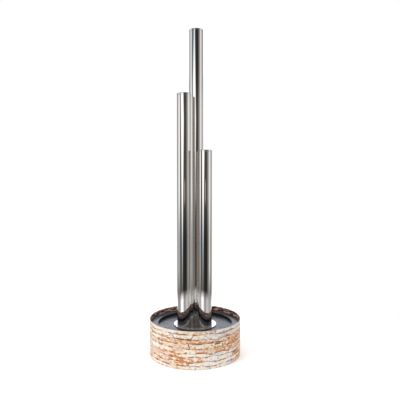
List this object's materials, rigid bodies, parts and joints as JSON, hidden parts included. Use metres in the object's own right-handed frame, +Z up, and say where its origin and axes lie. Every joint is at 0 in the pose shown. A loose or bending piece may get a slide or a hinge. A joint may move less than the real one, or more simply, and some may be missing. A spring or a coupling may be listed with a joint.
{
  "type": "water fountain",
  "caption": "Free-standing water feature: polished steel tubes of different heights on a round plate, over a pumped reservoir in a stone-effect ring.",
  "frame": {"origin": "centre of the round surround, on the floor it stands on", "axes": "+Z up along the tubes, -Y towards the front, where the middle tube is on the left and the short tube on the right"},
  "size_m": [0.414, 0.417, 1.483],
  "materials": {
    "stone_effect_sheet": "printed stacked-ledgestone pattern on thin sheet, satin",
    "galvanised_strip": "plain galvanised",
    "rivet_steel": "bright plated",
    "black_rubber": "matt black",
    "black_tub_plastic": "moulded, fine texture",
    "lid_plastic": "moulded charcoal, slightly worn sheen",
    "polished_steel": "mirror-polished stainless steel",
    "pump_plastic": "moulded, satin",
    "impeller_plastic": "natural nylon",
    "magnet_grey": "ferrite, ground",
    "white_ceramic": "ground and polished",
    "dial_blue": "moulded, semi-gloss",
    "pipe_plastic": "extruded, smooth",
    "fitting_plastic": "moulded, satin",
    "brass": "machined",
    "hose_vinyl": "flexible vinyl, smooth",
    "clip_steel": "rolled strip"
  },
  "bodies": {
    "reservoir": {"basin": "black_tub_plastic", "surround_band": "stone_effect_sheet", "seam_strip": "galvanised_strip", "cable_grommet": "black_rubber", "seam_rivet_1": "rivet_steel", "seam_rivet_2": "rivet_steel", "seam_rivet_3": "rivet_steel", "seam_rivet_4": "rivet_steel", "pump_body": "pump_plastic", "pump_intake_cover": "pump_plastic", "pump_outlet_barb": "pump_plastic", "rotor_shaft": "white_ceramic", "pump_cable_gland": "black_rubber", "pump_foot_1": "black_rubber", "pump_foot_2": "black_rubber", "pump_foot_3": "black_rubber", "pump_foot_4": "black_rubber"},
    "pump_rotor": {"impeller": "impeller_plastic", "rotor_magnet": "magnet_grey"},
    "pump_dial": {"flow_dial": "dial_blue"},
    "fountain_head": {"reservoir_lid": "lid_plastic", "base_gasket": "black_rubber", "base_plate": "polished_steel", "manifold": "fitting_plastic", "feed_hose": "hose_vinyl", "feed_hose_clip_1": "clip_steel", "feed_hose_clip_2": "clip_steel", "lid_leg_1": "black_tub_plastic", "plate_screw_1": "rivet_steel", "lid_leg_2": "black_tub_plastic", "plate_screw_2": "rivet_steel", "lid_leg_3": "black_tub_plastic", "plate_screw_3": "rivet_steel", "tall_tube": "polished_steel", "tall_cap": "polished_steel", "tall_riser": "pipe_plastic", "tall_elbow": "fitting_plastic", "tall_back_nut": "brass", "tall_hose": "hose_vinyl", "tall_hose_clip_1": "clip_steel", "tall_hose_clip_2": "clip_steel", "middle_tube": "polished_steel", "middle_cap": "polished_steel", "middle_riser": "pipe_plastic", "middle_elbow": "fitting_plastic", "middle_back_nut": "brass", "middle_hose": "hose_vinyl", "middle_hose_clip_1": "clip_steel", "middle_hose_clip_2": "clip_steel", "short_tube": "polished_steel", "short_cap": "polished_steel", "short_riser": "pipe_plastic", "short_elbow": "fitting_plastic", "short_back_nut": "brass", "short_hose": "hose_vinyl", "short_hose_clip_1": "clip_steel", "short_hose_clip_2": "clip_steel"},
    "tall_valve_plug": {"tall_valve": "dial_blue"},
    "middle_valve_plug": {"middle_valve": "dial_blue"},
    "short_valve_plug": {"short_valve": "dial_blue"}
  },
  "joints": [
    {"name": "lid_lift", "type": "slide", "parent": "reservoir", "child": "fountain_head", "axis": [0, 0, 1], "range_m": [0, 0.2]},
    {"name": "impeller_spin", "type": "hinge", "parent": "reservoir", "child": "pump_rotor", "pos_m": [0.08, 0.1, 0.028], "axis": [1, 0, 0], "continuous": true},
    {"name": "flow_dial_turn", "type": "hinge", "parent": "reservoir", "child": "pump_dial", "pos_m": [0.1003, 0.1, 0.028], "axis": [1, 0, 0], "range_deg": [0, 30]},
    {"name": "tall_valve_turn", "type": "hinge", "parent": "fountain_head", "child": "tall_valve_plug", "pos_m": [0.00469, -0.1165, 0.1], "axis": [0, 0, 1], "range_deg": [0, 90]},
    {"name": "middle_valve_turn", "type": "hinge", "parent": "fountain_head", "child": "middle_valve_plug", "pos_m": [-0.04876, -0.1165, 0.1], "axis": [0, 0, 1], "range_deg": [0, 90]},
    {"name": "short_valve_turn", "type": "hinge", "parent": "fountain_head", "child": "short_valve_plug", "pos_m": [0.04407, -0.1165, 0.1], "axis": [0, 0, 1], "range_deg": [0, 90]}
  ]
}
